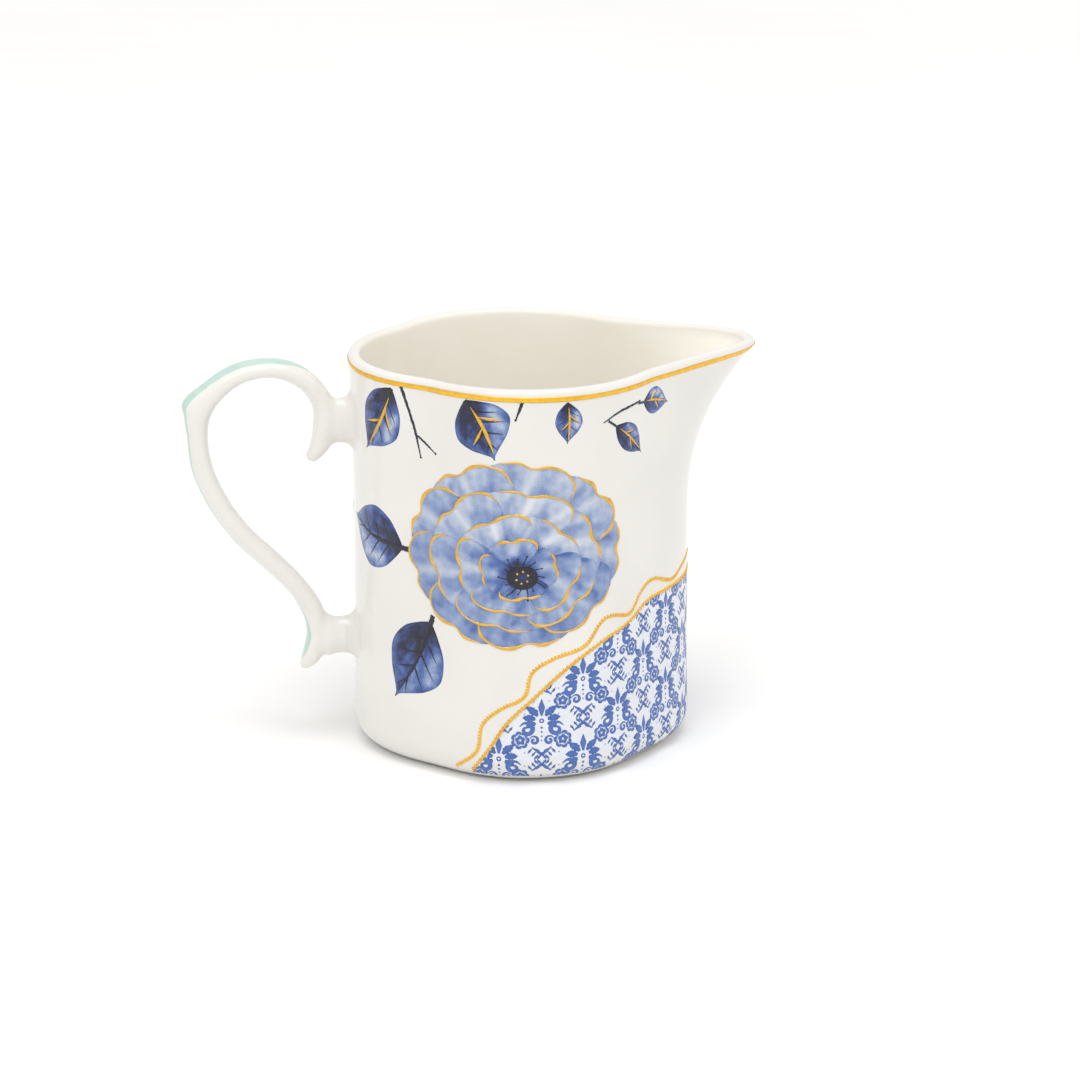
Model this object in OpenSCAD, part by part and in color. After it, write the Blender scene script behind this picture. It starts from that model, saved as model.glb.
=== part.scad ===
// Porcelain cream jug: a slip-cast body with four soft lobes and a pulled lip, a scrolled
// handle stuck on with slip at two stems, and the fired-on decoration laid over the glaze.
// Millimetres. Z up from the table, the lip points along +X, the handle along -X.

/* [Body] */
// Height of the rim above the table
height = 86; // [75:0.5:98]
// Radius of the straight wall, measured at the middle of a lobe
radius = 36; // [30:0.5:42]
// Thickness of the wall
wall = 2.6; // [1.8:0.1:4]
// How far the soft valleys between the lobes sink, as a share of the radius
valley = 0.057; // [0:0.005:0.1]
// How far the wall opens out at the rim
rim_flare = 0.8; // [0:0.1:2]
// How far the wall opens out just above the foot
foot_flare = 0.6; // [0:0.1:2]
// Width of the rounding that turns the wall under to the foot
foot_turn = 6.2; // [3:0.1:9]
// Height of the same rounding
foot_rise = 5.8; // [3:0.1:9]

/* [Lip] */
// How far the pouring lip reaches past the wall
lip_reach = 15.2; // [8:0.1:22]
// Distance below the rim at which the lip starts to swell
lip_drop = 38; // [25:0.5:55]
// Angular half width of the lip, in degrees
lip_spread = 13.4; // [9:0.1:20]
// How far the rim lifts at the lip
lip_lift = 0.7; // [0:0.1:3]

/* [Handle] */
// Thickness added to the strap all round
strap_extra = 0; // [-0.4:0.05:0.6]
// Height of the corner on the outside of the strap
heel_height = 0.8; // [0:0.1:2]
// Half height of the upper stem where it is narrowest
upper_stem_half = 4.9; // [3.5:0.1:6]
// Half height of the lower stem where it is narrowest
lower_stem_half = 4.1; // [3:0.1:5.5]
// Half width of both stems
stem_half_width = 2.8; // [2:0.1:3.6]
// Gap between a stem and the wall, which the slip fills
slip_gap = 1.2; // [0.8:0.1:2]

/* [Decoration] */
// Thickness of a fired transfer or of an enamel stripe
film = 0.14; // [0.08:0.02:0.3]
// Clear distance between the glaze and the film
lift = 0.1; // [0.04:0.01:0.16]
// Width of the gold line below the rim
gold_line = 0.9; // [0.5:0.1:2]
// Depth of the middle of the gold line below the rim
gold_depth = 1.8; // [1.4:0.1:4]

/* [Hidden] */

porcelain = [0.95, 0.94, 0.91];
slip = [0.93, 0.91, 0.87];
gold = [0.9, 0.68, 0.2];
mint = [0.76, 0.87, 0.81];
petal_blue = [0.52, 0.61, 0.8];
leaf_blue = [0.3, 0.4, 0.65];
twig_navy = [0.14, 0.15, 0.22];
damask_blue = [0.45, 0.57, 0.8];

around = 88;
rim_round = wall / 2;
fore = -1;
aft = 1;

// ---------- the wall ----------

function unit(v) = max(0, min(1, v));

// Share of the lip that is felt at an angle from the lip's own direction.
function lip_share(a) = exp(-pow((sqrt(a * a + 36) - 6) / lip_spread, 1.31));

function lobe(a) = 1 - valley * pow((1 - cos(4 * a)) / 2, 1.45);

function straight(z) = radius + rim_flare * pow(unit(1 - (height - z) / 30), 2)
    + foot_flare * pow(unit(1 - z / 30), 2);

function turn_under(z) = foot_turn * (1 - sqrt(unit(1 - pow(max(0, foot_rise - z) / foot_rise, 2))));

function wall_radius(a, z) = straight(z) * lobe(a)
    + lip_reach * pow(unit(1 - (height - z) / lip_drop), 2.46) * lip_share(a) - turn_under(z);

function raise(a, z) = lip_lift * exp(-pow(a / 27.6, 2)) * pow(unit((z - height + 20) / 20), 2);

function on_wall(a, z, out) = let (r = wall_radius(a, z) + out)
    [r * cos(a), r * sin(a), z + raise(a, z)];

// Angles run from -180 to 180 and lie closer together at the lip.
function angle_at(i) = let (p = 360 * i / around - 180) p - 17 * sin(p);

// ---------- closed skins ----------

// Joins a stack of equal rings into one closed skin. The first and the last ring are closed
// on a single point each.
module closed_skin(rings, first, last, flip = false) {
    m = len(rings[0]);
    n = len(rings);
    points = concat([first], [for (r = rings) for (p = r) p], [last]);
    sides = [for (k = [0 : n - 2]) for (i = [0 : m - 1])
        let (j = (i + 1) % m, a = 1 + k * m + i, b = 1 + k * m + j, c = b + m, d = a + m)
        each [[a, b, c], [a, c, d]]];
    start = [for (i = [0 : m - 1]) [0, 1 + (i + 1) % m, 1 + i]];
    end = [for (i = [0 : m - 1]) let (o = 1 + (n - 1) * m) [o + m, o + i, o + (i + 1) % m]];
    faces = concat(start, sides, end);
    polyhedron(points, flip ? [for (f = faces) [f[0], f[2], f[1]]] : faces, convexity = 10);
}

// Joins the rings into a tube that closes on itself.
module closed_loop(rings) {
    m = len(rings[0]);
    n = len(rings);
    faces = [for (k = [0 : n - 1]) for (i = [0 : m - 1])
        let (j = (i + 1) % m, l = (k + 1) % n,
            a = k * m + i, b = k * m + j, c = l * m + j, d = l * m + i)
        each [[a, b, c], [a, c, d]]];
    polyhedron([for (r = rings) for (p = r) p], faces, convexity = 10);
}

// ---------- body ----------

underside = 1.6;
floor_top = 5;
floor_turn = 8;
ring_width = 2.4;
wall_steps = 19;

function ring(z, out) = [for (i = [0 : around - 1]) on_wall(angle_at(i), z, out)];

function foot_ring(in, z) = [for (i = [0 : around - 1])
    let (a = angle_at(i), r = wall_radius(a, 0) - in) [r * cos(a), r * sin(a), z]];

function scaled_foot(share, z) = [for (i = [0 : around - 1])
    let (a = angle_at(i), r = (wall_radius(a, 0) - ring_width - 0.8) * share)
    [r * cos(a), r * sin(a), z]];

function rim_ring(t) = [for (i = [0 : around - 1])
    let (a = angle_at(i), z = height - rim_round,
        r = wall_radius(a, z) - rim_round + rim_round * cos(t))
    [r * cos(a), r * sin(a), z + raise(a, height) + rim_round * sin(t)]];

function inner_turn(t) = [for (i = [0 : around - 1])
    let (a = angle_at(i), z = floor_top + floor_turn,
        r = wall_radius(a, z) - wall - floor_turn * (1 - sin(t)))
    [r * cos(a), r * sin(a), z - floor_turn * cos(t)]];

function inner_floor(share) = [for (i = [0 : around - 1])
    let (a = angle_at(i), r = (wall_radius(a, floor_top + floor_turn) - wall - floor_turn) * share)
    [r * cos(a), r * sin(a), floor_top]];

module body_solid() {
    low = foot_rise;
    high = height - rim_round;
    outer = [for (k = [0 : wall_steps]) let (s = k / wall_steps)
        ring(low + (high - low) * (1.25 * s - 0.25 * s * s), 0)];
    inner = [for (k = [0 : wall_steps - 4]) let (s = k / (wall_steps - 3))
        ring(high - (high - floor_top - floor_turn) * (0.7 * s + 0.3 * s * s), -wall)];
    rings = concat(
        [scaled_foot(0.5, underside), scaled_foot(1, underside)],
        [foot_ring(ring_width, 0.3), foot_ring(ring_width - 0.3, 0), foot_ring(0, 0)],
        [for (t = [18 : 18 : 72]) ring(foot_rise * (1 - cos(t)), 0)],
        outer,
        [for (t = [30 : 30 : 150]) rim_ring(t)],
        inner,
        [for (t = [90 : -18 : 0]) inner_turn(t)],
        [inner_floor(0.5)]);
    closed_skin(rings, [0, 0, underside], [0, 0, floor_top], flip = true);
}

// ---------- handle ----------

// Middle line of the strap from the upper scroll over the top to the lower scroll, each as
// [x, z, outer half thickness, inner half thickness, half width].
strap_line = [
    [-45.3, 63.4, 1.2, 1.2, 1.5], [-43.4, 66.4, 2.4, 1.9, 2.6], [-42.3, 70.3, 2.5, 2.4, 3.1],
    [-42.3, 75.0, 2.4, 2.4, 3.2], [-45.0, 79.6, 2.2, 2.2, 3.3], [-49.5, 82.6, 2.1, 2.0, 3.4],
    [-54.5, 83.6, 1.9, 1.9, 3.5], [-60.3, 82.5, 2.1, 2.0, 3.6], [-65.3, 79.3, 2.4, 2.4, 3.6],
    [-68.6, 75.0, 3.0, 2.7, 3.5], [-69.2, 69.5, 2.1, 2.3, 3.3], [-68.2, 62.0, 2.2, 2.3, 3.2],
    [-64.8, 54.0, 2.1, 2.3, 3.1], [-60.0, 47.0, 2.0, 2.3, 3.0], [-54.3, 41.2, 2.0, 2.3, 3.0],
    [-49.2, 35.6, 2.0, 2.3, 3.0], [-45.6, 30.0, 2.2, 2.4, 3.1], [-44.3, 24.5, 2.4, 2.4, 3.2],
    [-45.6, 19.8, 2.1, 2.1, 2.6], [-47.6, 17.0, 1.0, 1.0, 1.3]];
heel_at = 9;
strap_sides = 20;
strap_parts = 3;

// A smooth curve through a list of points, with parts steps between each two.
function blend(a, b, c, d, t) = 0.5 * (2 * b + (c - a) * t + (2 * a - 5 * b + 4 * c - d) * t * t
    + (3 * b - a - 3 * c + d) * t * t * t);
function open_curve(p, parts) = let (n = len(p), q = concat([2 * p[0] - p[1]], p, [2 * p[n - 1] - p[n - 2]]))
    concat([for (i = [1 : n - 1]) for (k = [0 : parts - 1])
        blend(q[i - 1], q[i], q[i + 1], q[i + 2], k / parts)], [p[n - 1]]);
function closed_curve(p, parts) = let (n = len(p)) [for (i = [0 : n - 1]) for (k = [0 : parts - 1])
    blend(p[(i + n - 1) % n], p[i], p[(i + 1) % n], p[(i + 2) % n], k / parts)];

strap = open_curve(strap_line, strap_parts);
strap_last = len(strap) - 1;

function along(i) = let (a = strap[max(0, i - 1)], b = strap[min(strap_last, i + 1)],
    d = [b[0] - a[0], b[1] - a[1]]) d / norm(d);
function outward(i) = let (d = along(i)) [d[1], -d[0]];
function heel(i) = let (s = i / strap_parts - heel_at)
    heel_height * exp(-pow(s / (s < 0 ? 0.55 : 0.35), 2));

// A point on the strap's skin, at an angle from the outward direction.
function on_strap(i, t, out) = let (p = strap[i], n = outward(i), c = cos(t), s = sin(t),
    c2 = sign(c) * pow(abs(c), 0.87), s2 = sign(s) * pow(abs(s), 0.87),
    grow = strap_extra + out,
    off = (c > 0 ? p[2] + grow : p[3] + grow) * c2 + heel(i) * pow(max(0, c), 3))
    [p[0] + n[0] * off, (p[4] + grow) * s2, p[1] + n[1] * off];

module strap_solid() {
    first = strap[0];
    last = strap[strap_last];
    d0 = along(0);
    d1 = along(strap_last);
    rings = [for (i = [0 : strap_last])
        [for (k = [0 : strap_sides - 1]) on_strap(i, 360 * k / strap_sides, 0)]];
    closed_skin(rings,
        [first[0] - 0.8 * d0[0], 0, first[1] - 0.8 * d0[1]],
        [last[0] + 0.7 * d1[0], 0, last[1] + 0.7 * d1[1]], flip = true);
}

wall_x = -radius;
upper_stem_z = 71.6;
lower_stem_z = 23.7;
stem_sides = 28;
stem_steps = 10;
slip_clear = 0.03;

function spread(x, at, reach) = reach * (1 - sqrt(unit(1 - pow(unit(1 - abs(x - at) / reach), 2))));

function stem_grow(x) = spread(x, wall_x, 2.4) + spread(x, -42, 2.6);

// One oval section of a stem, at a distance x from the jug's axis.
function stem_ring(x, z, half, share = 1) = let (g = stem_grow(x))
    [for (i = [0 : stem_sides - 1]) let (t = i * 360 / stem_sides)
        [x, share * (stem_half_width + 0.75 * g) * cos(t), z + share * (half + g) * sin(t)]];

// A waisted stem that runs out of the strap and stops short of the wall.
module stem_solid(z, half, x0) {
    x1 = wall_x - slip_gap;
    rings = [for (k = [0 : stem_steps]) stem_ring(x0 + (x1 - x0) * k / stem_steps, z, half)];
    closed_skin(rings, [x0, 0, z], [x1, 0, z], flip = true);
}

module handle_solid() {
    strap_solid();
    stem_solid(upper_stem_z, upper_stem_half, -43);
    stem_solid(lower_stem_z, lower_stem_half, -43.6);
}

// Moves a point along X onto the wall behind it.
function onto_wall(p) = let (a = 180 - asin(p[1] / radius), r = wall_radius(a, p[2]) + slip_clear)
    [-sqrt(r * r - p[1] * p[1]), p[1], p[2]];

// Slip that fills the gap between a stem and the wall, wiped to a hollow fillet all round.
module luting_solid(z, half) {
    x1 = wall_x - slip_gap;
    fillet = [for (k = [0 : 4]) let (edge = stem_ring(x1 + slip_gap * sin(k * 22.5), z, half))
        [for (p = edge) let (q = onto_wall(p)) [x1 + (q[0] - x1) * k / 4, p[1], p[2]]]];
    back = [for (p = stem_ring(wall_x, z, half, 0.5)) onto_wall(p)];
    closed_skin(concat(fillet, [back]), [x1, 0, z], onto_wall([wall_x, 0, z]), flip = true);
}

// ---------- decoration ----------

// Wall positions are [u, z]: u is the distance round the wall from the middle of the front,
// counted towards the lip, and z is the height. The back is the mirror image.
per_degree = 36 * PI / 180;
function spot(p, out, side) = let (q = on_wall(p[0] / per_degree - 90, p[1], out))
    [q[0], side == fore ? q[1] : -q[1], q[2]];

// A patch of film with a smooth edge round a middle point.
module patch(side, middle, edge, parts = 2, rings = 3) {
    rim = closed_curve(edge, parts);
    m = len(rim);
    top = [for (k = [1 : rings]) [for (p = rim) spot(middle + (p - middle) * k / rings, lift + film, side)]];
    base = [for (k = [rings : -1 : 1]) [for (p = rim) spot(middle + (p - middle) * k / rings, lift, side)]];
    closed_skin(concat(top, base), spot(middle, lift + film, side), spot(middle, lift, side),
        flip = side == fore);
}

// A stripe of film along a line.
module stripe(side, line, parts, half) {
    path = open_curve(line, parts);
    n = len(path);
    rings = [for (i = [0 : n - 1])
        let (a = path[max(0, i - 1)], b = path[min(n - 1, i + 1)], d = (b - a) / norm(b - a),
            h = half * [-d[1], d[0]], p = path[i])
        [spot(p - h, lift, side), spot(p - h, lift + film, side),
            spot(p + h, lift + film, side), spot(p + h, lift, side)]];
    closed_skin(rings, (rings[0][0] + rings[0][2]) / 2, (rings[n - 1][0] + rings[n - 1][2]) / 2,
        flip = side == aft);
}

// A plain flower's edge: an oval with one soft swelling for each outer petal.
flower_middle = [-8, 50.5];
flower_reach = [25.2, 20.2];
outer_petals = 9;
flower_swell = 0.03;
flower_points = 36;
function flower_edge() = [for (i = [0 : flower_points - 1]) let (t = -360 * i / flower_points)
    flower_middle + (1 + flower_swell * cos(outer_petals * t))
        * [flower_reach[0] * cos(t), flower_reach[1] * sin(t)]];

// A plain pointed leaf from its stalk to its tip. shape is in shares of its length and half width.
leaf_shape = [[0, 0], [0.22, 0.72], [0.52, 1], [0.8, 0.62], [1, 0], [0.8, -0.62], [0.52, -1],
    [0.22, -0.72]];
function leaf_edge(leaf) = let (d = leaf[1] - leaf[0], n = [-d[1], d[0]] / norm(d))
    [for (s = leaf_shape) leaf[0] + s[0] * d + s[1] * leaf[2] * n];

module leaf_patch(side, leaf) {
    patch(side, (leaf[0] + leaf[1]) / 2, leaf_edge(leaf), 2, 2);
}

// Each leaf: stalk end, tip, half width.
rim_leaf = [[-37, 82.8], [-46, 69], 5.2];
tall_leaf = [[-17.5, 83.2], [-11.5, 72.6], 5.4];
bud_leaf = [[3.8, 83.2], [3.8, 74.6], 2.9];
lip_leaf_a = [[24.4, 80], [33, 78.4], 2.9];
lip_leaf_b = [[15.4, 76.6], [23.6, 69.6], 2.9];
handle_leaf = [[-35, 48.6], [-53, 51.6], 6.4];
low_leaf = [[-27.4, 33.2], [-37, 16.4], 7];
twig_long = [[-34, 82.6], [-31.4, 76.2], [-30.6, 73.6], [-29.5, 69.2]];
twig_side = [[-31, 74.4], [-28.4, 72.6], [-25.4, 70.6]];
twig_short = [[-5.6, 83], [-6.8, 79.8]];
lip_stem = [[12, 77.9], [16.4, 79.6], [22.6, 80.8]];
braid_line = [[-16.8, 2.2], [-12.5, 8], [-9, 13.5], [-4, 18.6], [4, 25.7], [12, 30.3], [20, 33],
    [26, 35.7], [31, 36.5], [44, 37], [56, 37.3]];
wave_line = [[-20.6, 2.6], [-15.3, 7], [-14, 13], [-10, 16.8], [-5, 19.7], [-3.3, 25], [1.5, 28],
    [8, 30], [12, 34.6], [15, 35.4], [20.5, 34.7], [24.6, 38.5], [29.5, 40], [37, 38], [43, 39.6],
    [50, 40.6], [56, 39.2]];

// Lower corner at the foot, then along under the braid to the lip line and back along the foot.
module damask_solid(side) {
    columns = 22;
    rows = 5;
    low = 1.4;
    bend = 5.8;
    left = -16.6;
    right = 56.2;
    top_line = open_curve(braid_line, 6);
    function top_at(u) = lookup(u, [for (p = top_line) [p[0], p[1] - 0.7]]);
    function level(j, top) = j < 2 ? low + (min(bend, top - 0.2) - low) * j / 2
        : min(bend, top - 0.2) + (top - min(bend, top - 0.2)) * (j - 2) / (rows - 2);
    grid = [for (k = [0 : columns]) let (u = left + (right - left) * k / columns,
        top = max(low + 0.5, top_at(u))) [for (j = [0 : rows]) [u, level(j, top)]]];
    rings = [for (c = grid) concat([for (p = c) spot(p, lift, side)],
        [for (j = [rows : -1 : 0]) spot(c[j], lift + film, side)])];
    n = len(rings);
    m = len(rings[0]);
    closed_skin(rings, (rings[0][1] + rings[0][m - 2]) / 2,
        (rings[n - 1][2] + rings[n - 1][m - 3]) / 2, flip = side == fore);
}

// Enamel over the back of the strap, from one ring to another. Its edge turns in at both ends.
module mint_solid(from, to, half_angle, parts = 2) {
    rings = [for (i = [from : to])
        let (end = (2 * i - from - to) / (to - from + 1), w = half_angle * sqrt(unit(1 - pow(end, 4))))
        concat([for (k = [-parts : parts]) on_strap(i, w * k / parts, lift)],
            [for (k = [parts : -1 : -parts]) on_strap(i, w * k / parts, lift + film)])];
    n = len(rings);
    top = 3 * parts + 1;
    closed_skin(rings, (rings[0][parts] + rings[0][top]) / 2,
        (rings[n - 1][parts] + rings[n - 1][top]) / 2);
}

// ---------- nodes ----------

module jug_body() {
    color(porcelain) body_solid();
}

module handle() {
    color(porcelain) resize([0, 0, 0]) handle_solid();
}

module upper_luting() {
    color(slip) luting_solid(upper_stem_z, upper_stem_half);
}

module lower_luting() {
    color(slip) luting_solid(lower_stem_z, lower_stem_half);
}

module gold_rim_line() {
    low = height - gold_depth - gold_line / 2;
    high = height - gold_depth + gold_line / 2;
    color(gold) closed_loop([for (i = [0 : around - 1]) let (a = angle_at(i))
        [on_wall(a, low, lift), on_wall(a, low, lift + film),
            on_wall(a, high, lift + film), on_wall(a, high, lift)]]);
}

module mint_handle_crest() {
    color(mint) mint_solid(13, 28, 62, 3);
}

module mint_handle_spine() {
    color(mint) mint_solid(29, 44, 26);
}

module mint_handle_tail() {
    color(mint) mint_solid(46, 56, 60);
}

module front_peony_transfer() {
    color(petal_blue) patch(fore, flower_middle, flower_edge(), 1, 5);
}

module front_leaf_under_rim() {
    color(leaf_blue) leaf_patch(fore, rim_leaf);
}

module front_leaf_above_peony() {
    color(leaf_blue) leaf_patch(fore, tall_leaf);
}

module front_bud_leaf() {
    color(leaf_blue) leaf_patch(fore, bud_leaf);
}

module front_lip_leaf_pair() {
    color(leaf_blue) {
        leaf_patch(fore, lip_leaf_a);
        leaf_patch(fore, lip_leaf_b);
    }
}

module front_leaf_by_handle() {
    color(leaf_blue) leaf_patch(fore, handle_leaf);
}

module front_leaf_below_peony() {
    color(leaf_blue) leaf_patch(fore, low_leaf);
}

module front_twigs() {
    color(twig_navy) {
        stripe(fore, twig_long, 3, 0.3);
        stripe(fore, [twig_side[0] + [0.7, -0.5], twig_side[1], twig_side[2]], 3, 0.22);
        stripe(fore, twig_short, 3, 0.35);
        stripe(fore, lip_stem, 3, 0.2);
    }
}

module front_damask_transfer() {
    color(damask_blue) damask_solid(fore);
}

module front_straight_braid() {
    color(gold) stripe(fore, braid_line, 5, 0.5);
}

module front_wavy_braid() {
    color(gold) stripe(fore, wave_line, 4, 0.4);
}

module back_peony_transfer() {
    color(petal_blue) patch(aft, flower_middle, flower_edge(), 1, 5);
}

module back_leaf_under_rim() {
    color(leaf_blue) leaf_patch(aft, rim_leaf);
}

module back_leaf_above_peony() {
    color(leaf_blue) leaf_patch(aft, tall_leaf);
}

module back_bud_leaf() {
    color(leaf_blue) leaf_patch(aft, bud_leaf);
}

module back_lip_leaf_pair() {
    color(leaf_blue) {
        leaf_patch(aft, lip_leaf_a);
        leaf_patch(aft, lip_leaf_b);
    }
}

module back_leaf_by_handle() {
    color(leaf_blue) leaf_patch(aft, handle_leaf);
}

module back_leaf_below_peony() {
    color(leaf_blue) leaf_patch(aft, low_leaf);
}

module back_twigs() {
    color(twig_navy) {
        stripe(aft, twig_long, 3, 0.3);
        stripe(aft, [twig_side[0] + [0.7, -0.5], twig_side[1], twig_side[2]], 3, 0.22);
        stripe(aft, twig_short, 3, 0.35);
        stripe(aft, lip_stem, 3, 0.2);
    }
}

module back_damask_transfer() {
    color(damask_blue) damask_solid(aft);
}

module back_straight_braid() {
    color(gold) stripe(aft, braid_line, 5, 0.5);
}

module back_wavy_braid() {
    color(gold) stripe(aft, wave_line, 4, 0.4);
}

jug_body();
handle();
upper_luting();
lower_luting();
gold_rim_line();
mint_handle_crest();
mint_handle_spine();
mint_handle_tail();
front_peony_transfer();
front_leaf_under_rim();
front_leaf_above_peony();
front_bud_leaf();
front_lip_leaf_pair();
front_leaf_by_handle();
front_leaf_below_peony();
front_twigs();
front_damask_transfer();
front_straight_braid();
front_wavy_braid();
back_peony_transfer();
back_leaf_under_rim();
back_leaf_above_peony();
back_bud_leaf();
back_lip_leaf_pair();
back_leaf_by_handle();
back_leaf_below_peony();
back_twigs();
back_damask_transfer();
back_straight_braid();
back_wavy_braid();
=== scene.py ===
"""Looks of the porcelain cream jug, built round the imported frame.

Shapes are worked out in millimetres and turned into metres when a mesh is made. A place on the
wall is (u, z): u is the distance round the wall from the middle of the front, counted towards
the lip, and z is the height. The back carries the mirror image of the front.
"""
import math

import bpy
import numpy as np
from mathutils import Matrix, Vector
from mathutils.geometry import delaunay_2d_cdt


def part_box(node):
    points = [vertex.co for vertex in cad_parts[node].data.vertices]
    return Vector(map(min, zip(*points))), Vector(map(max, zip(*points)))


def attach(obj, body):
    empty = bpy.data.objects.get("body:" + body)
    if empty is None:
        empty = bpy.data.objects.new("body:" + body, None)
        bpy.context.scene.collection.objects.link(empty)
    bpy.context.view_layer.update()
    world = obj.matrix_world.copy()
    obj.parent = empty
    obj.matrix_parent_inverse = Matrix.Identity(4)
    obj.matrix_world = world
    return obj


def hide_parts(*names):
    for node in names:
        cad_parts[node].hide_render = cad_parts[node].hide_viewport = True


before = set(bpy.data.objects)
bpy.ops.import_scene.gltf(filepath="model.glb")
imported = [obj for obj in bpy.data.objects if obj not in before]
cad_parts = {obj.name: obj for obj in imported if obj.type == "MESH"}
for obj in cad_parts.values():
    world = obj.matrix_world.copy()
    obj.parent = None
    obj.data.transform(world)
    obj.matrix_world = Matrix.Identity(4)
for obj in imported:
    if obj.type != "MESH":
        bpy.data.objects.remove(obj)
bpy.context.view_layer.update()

MM = 0.001
FRONT = -1
BACK = 1
SIDE_NAMES = {FRONT: "front", BACK: "back"}

# ---------- sizes, from the frame ----------

body_low, body_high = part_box("jug_body")
LIP_LIFT = 0.7
RIM_FLARE = 0.8
FOOT_FLARE = 0.6
HEIGHT = body_high.z / MM - LIP_LIFT
RADIUS = round(body_high.y / MM - 0.92 * RIM_FLARE, 1)
WALL = 2.6
CREASE = 0.6
CREASE_SPREAD = 8
VALLEY = 0.057
FOOT_TURN = 6.2
FOOT_RISE = 5.8
LIP_REACH = 15.2
LIP_DROP = 38
LIP_SPREAD = 13.4
UNDERSIDE = 1.6
FLOOR_TOP = 5
FLOOR_TURN = 8
RING_WIDTH = 2.4
LIP_U = RADIUS * math.pi / 2


# ---------- the wall ----------

def unit(v):
    return np.clip(v, 0, 1)


def lip_share(a):
    return np.exp(-((np.sqrt(a * a + 36) - 6) / LIP_SPREAD) ** 1.31)


def lobe(a):
    return 1 - VALLEY * ((1 - np.cos(np.radians(4 * a))) / 2) ** 1.45


def crease(a, z):
    """The pinch along the middle of each valley, strongest at the rim."""
    off = np.mod(a, 90) - 45
    return CREASE * (0.4 + 0.6 * unit(1 - (HEIGHT - z) / 25)) * np.exp(-(off / CREASE_SPREAD) ** 2)


def wall_radius(a, z):
    """Outer radius at an angle in degrees from the lip and at a height."""
    straight = (RADIUS + RIM_FLARE * unit(1 - (HEIGHT - z) / 30) ** 2
                + FOOT_FLARE * unit(1 - z / 30) ** 2)
    turn = 1 - np.sqrt(unit(1 - (np.maximum(0, FOOT_RISE - z) / FOOT_RISE) ** 2))
    lip = LIP_REACH * unit(1 - (HEIGHT - z) / LIP_DROP) ** 2.46 * lip_share(a)
    return straight * lobe(a) - crease(a, z) + lip - FOOT_TURN * turn


def lifted(a, z):
    return LIP_LIFT * np.exp(-(a / 27.6) ** 2) * unit((z - HEIGHT + 20) / 20) ** 2


def place(a, r, z):
    t = np.radians(a)
    return np.stack(np.broadcast_arrays(r * np.cos(t), r * np.sin(t), z), axis=-1)


def on_wall(u, z, out):
    """Points at (u, z) on the front, standing out from the glaze."""
    a = np.degrees(np.asarray(u, float) / RADIUS) - 90
    z = np.asarray(z, float)
    return place(a, wall_radius(a, z) + out, z + lifted(a, z))


# ---------- meshes ----------

def make_object(name, points, faces, tones=None, smooth=True):
    """A mesh object from points in millimetres, with an optional tone from 0 to 1 at each point."""
    mesh = bpy.data.meshes.new(name)
    mesh.from_pydata((np.asarray(points) * MM).tolist(), [], faces)
    mesh.validate()
    mesh.shade_smooth() if smooth else mesh.shade_flat()
    if tones is not None:
        layer = mesh.attributes.new("tone", "FLOAT", "POINT")
        layer.data.foreach_set("value", np.asarray(tones, np.float32))
    obj = bpy.data.objects.new(name, mesh)
    bpy.context.scene.collection.objects.link(obj)
    return obj


def loft_faces(count, ring, first=0, closed=True):
    """Quads between each two of count rings of ring points."""
    k, i = np.meshgrid(np.arange(count - 1), np.arange(ring if closed else ring - 1), indexing="ij")
    a = first + k * ring + i
    b = first + k * ring + (i + 1) % ring
    return np.stack([a, b, b + ring, a + ring], axis=-1).reshape(-1, 4).tolist()


def skin(name, rings, first, last, tones=None):
    """A closed skin over a stack of equal rings, with its ends drawn to a point each."""
    ring = len(rings[0])
    count = len(rings)
    points = np.vstack([[first], *rings, [last]])
    end = 1 + (count - 1) * ring
    faces = loft_faces(count, ring, 1)
    faces += [[0, 1 + (i + 1) % ring, 1 + i] for i in range(ring)]
    faces += [[end + ring, end + i, end + (i + 1) % ring] for i in range(ring)]
    return make_object(name, points, faces, tones)


def show(obj, material, slot, *nodes):
    """Gives a piece its finish, hangs it under the root and hides the CAD nodes it stands for."""
    obj.data.materials.append(material)
    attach(obj, "root")
    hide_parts(*nodes)
    return obj


# ---------- curves ----------

def blend(p, closed, step):
    """A smooth curve through the points, cut into pieces of about step millimetres."""
    p = np.asarray(p, float)
    n = len(p)
    if closed:
        q = np.vstack([p[-1], p, p[0], p[1]])
    else:
        q = np.vstack([2 * p[0] - p[1], p, 2 * p[-1] - p[-2]])
    out = []
    for i in range(n if closed else n - 1):
        a, b, c, d = q[i:i + 4]
        parts = max(2, int(np.linalg.norm((c - b)[:2]) / step + 0.5))
        t = (np.arange(parts) / parts)[:, None]
        out.append(0.5 * (2 * b + (c - a) * t + (2 * a - 5 * b + 4 * c - d) * t ** 2
                          + (3 * b - a - 3 * c + d) * t ** 3))
    if not closed:
        out.append(p[-1:])
    return np.vstack(out)


def distance(points, line):
    """Distance from each point to a line of points."""
    a = line[:-1]
    d = line[1:] - a
    length = np.maximum((d * d).sum(1), 1e-12)
    rel = points[:, None, :] - a[None]
    t = unit((rel * d).sum(2) / length)
    return np.sqrt(((rel - t[..., None] * d) ** 2).sum(2).min(1))


def inside(points, rim):
    """Which points lie within a closed outline."""
    a = rim
    b = np.roll(rim, -1, axis=0)
    x, y = points[:, 0:1], points[:, 1:2]
    cross = (a[:, 1] > y) != (b[:, 1] > y)
    rise = np.where(np.abs(b[:, 1] - a[:, 1]) < 1e-12, 1e-12, b[:, 1] - a[:, 1])
    at = a[:, 0] + (y - a[:, 1]) * (b[:, 0] - a[:, 0]) / rise
    return (cross & (x < at)).sum(1) % 2 == 1


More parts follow.
